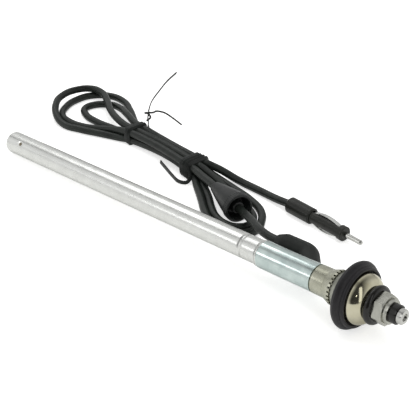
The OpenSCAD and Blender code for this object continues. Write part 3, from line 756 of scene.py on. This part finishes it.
# Die-cast and nickel-plated: warm grey, its pebble spreads the highlights
nickel_plated_casting = plated(
    "nickel_plated_casting", "#B9B9AA", "#A9A999", 0.3, 0.6, (1, 1, 1), bump=0.1
)
# Stamped spring steel: dull grey that mirrors next to nothing
grey_steel = plated("stamped_steel", "#A3A49A", "#8F9086", 0.42, 0.5, (1, 1, 1), bump=0.25)
# Turned and plated with nickel: each flat of the nut mirrors another part of the room
bright_nickel = plated(
    "nickel_plated_turned_steel", "#B2B2AA", "#9F9F97", 0.22, 0.5, (1, 1, 1), bump=0.15
)
# Drawn tube under hard chrome: nearly a mirror
polished_chrome = plated(
    "polished_chrome", "#C6C6C2", "#BABAB6", 0.14, 0.6, (0.1, 1, 1), bump=0.02
)
# Brass as it leaves the lathe: yellow, with rings round the axis
turned_brass = plated(
    "turned_brass", "#C9A45C", "#B9924A", 0.3, 0.4, (1, 0.2, 0.2), bump=0.05
)
# Bare copper drawn to wire: reddish, lines along it
copper_wire = plated("drawn_copper", "#C9805C", "#B9704C", 0.3, 0.4, (0.2, 1, 1), bump=0.03)
# Spun steel with zinc in yellow chromate: pale gold that shows the room clearly
yellow_chromate_zinc = plated(
    "yellow_chromate_zinc",
    "#C6C2AC",
    "#B9B49A",
    0.12,
    2.0,
    (1, 1, 1),
    bump=0.03,
    rough_range=0.04,
)

# %% [markdown]
# ## Rubber and plastics
#
# Moulded rubber is dark grey rather than black, with a soft sheen and a very fine pebble. Vinyl is
# smoother and a little glossier, and the bush and the ring shine like hard plastic.


# %% Rubbers and plastics
def moulded(name, colour, lighter, rough, grain_mm, bump=0.1, gloss=0.5):
    """A moulded rubber or plastic with a fine pebble and slightly uneven colour."""
    material, tree, shader = new_material(name)
    place = axis_coordinates(tree)
    pebble = add(
        tree,
        "ShaderNodeTexNoise",
        {"Vector": place, "Scale": 1 / grain_mm, "Detail": 3, "Roughness": 0.6},
    )
    cloud = add(tree, "ShaderNodeTexNoise", {"Vector": place, "Scale": SOFT_CLOUDS, "Detail": 3})
    tint = add(
        tree,
        "ShaderNodeValToRGB",
        {"Fac": cloud},
        stops=[(0.3, linear(colour)), (0.75, linear(lighter))],
    )
    tree.links.new(tint.outputs["Color"], shader.inputs["Base Color"])
    sheen = add(
        tree,
        "ShaderNodeMapRange",
        {
            "Value": pebble,
            "From Min": GRAIN_LOW,
            "From Max": GRAIN_HIGH,
            "To Min": rough - 0.06,
            "To Max": rough + 0.06,
        },
    )
    tree.links.new(sheen.outputs["Result"], shader.inputs["Roughness"])
    shader.inputs["Specular IOR Level"].default_value = gloss
    relief = add(tree, "ShaderNodeBump", {"Height": pebble, "Strength": bump, "Distance": 0.0001})
    tree.links.new(relief.outputs["Normal"], shader.inputs["Normal"])
    return material


# The colour is uneven in clouds about 7 mm wide
SOFT_CLOUDS = 0.15
# Moulded in a blasted tool: soft sheen on the round rims of the pad
pad_rubber = moulded("moulded_pad_rubber", "#1C1B1D", "#272628", 0.45, 0.5, bump=0.15, gloss=0.3)
# The same, duller: the elbow hardly shows a highlight
boot_rubber = moulded(
    "moulded_boot_rubber", "#1B1E1C", "#242725", 0.6, 0.4, bump=0.15, gloss=0.25
)
# Darker and a little glossier, so that the edges of the ribs catch light
grommet_rubber = moulded(
    "moulded_grommet_rubber", "#151716", "#202322", 0.4, 0.4, bump=0.15, gloss=0.4
)
# Vinyl that came warm out of a die: a long soft highlight along the lead
lead_vinyl = moulded("extruded_vinyl", "#181C19", "#262B27", 0.38, 0.8, bump=0.1, gloss=0.3)
# The strip of the ties, a little darker than the lead
tie_vinyl = moulded("extruded_tie_vinyl", "#161917", "#202422", 0.4, 0.6, bump=0.1, gloss=0.3)
# Hard plastic from a polished mould: small sharp highlights on ring and bush
black_gloss = moulded(
    "moulded_gloss_plastic", "#12110F", "#191815", 0.18, 1.0, bump=0.03, gloss=0.4
)
# The plug's plastic, from a plain mould: a broad highlight on its upper side
plug_plastic = moulded("moulded_plug_plastic", "#1E1F1C", "#282924", 0.36, 0.5, gloss=0.3)
# Uncoloured nylon: milky and pale, inside the tube
natural_nylon = moulded("moulded_nylon", "#D8D4C4", "#E0DCCE", 0.4, 0.8, bump=0.05)

# %% Put each finish on its pieces
FINISHES = {
    "mast_tube": drawn_aluminium,
    "end_buffer": natural_nylon,
    "insulating_liner": natural_nylon,
    "contact_ferrule": turned_brass,
    "ground_sleeve": zinc_plated_steel,
    "flared_collar": nickel_plated_casting,
    "claw_washer": grey_steel,
    "dome_bezel": yellow_chromate_zinc,
    "seal_ring": black_gloss,
    "cap_nut": bright_nickel,
    "front_bush": black_gloss,
    "mast_section_1": polished_chrome,
    "mast_section_2": polished_chrome,
    "mast_section_3": polished_chrome,
    "mast_rod": polished_chrome,
    "mast_foot_1": turned_brass,
    "mast_foot_2": turned_brass,
    "mast_foot_3": turned_brass,
    "mast_foot_4": turned_brass,
    "mast_tip": polished_chrome,
    "feed_wire": copper_wire,
    "plug_handle": plug_plastic,
    "plug_core": plug_plastic,
    "plug_springs": drawn_aluminium,
    "plug_pin": polished_chrome,
}
for node_name, material in FINISHES.items():
    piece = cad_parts[node_name]
    piece.data.materials.clear()
    piece.data.materials.append(material)
lead.data.materials.append(lead_vinyl)
for piece in (tie_1, tie_1_end, tie_2):
    piece.data.materials.append(tie_vinyl)
for piece, material in ((pad, pad_rubber), (elbow, boot_rubber), (grommet, grommet_rubber)):
    piece.data.materials.append(material)
print(len(FINISHES), "CAD pieces have their finish")

# %% [markdown]
# ## The view transform
#
# The whole lead is in view, so its length is the length of the drawn curve. The grommet, the
# ties and the pieces of the plug are on it. Colours reach the picture through the Standard view
# transform.

# %% Show colours through the Standard view transform
view_settings = bpy.context.scene.view_settings
view_settings.view_transform = "Standard"
bpy.context.view_layer.update()
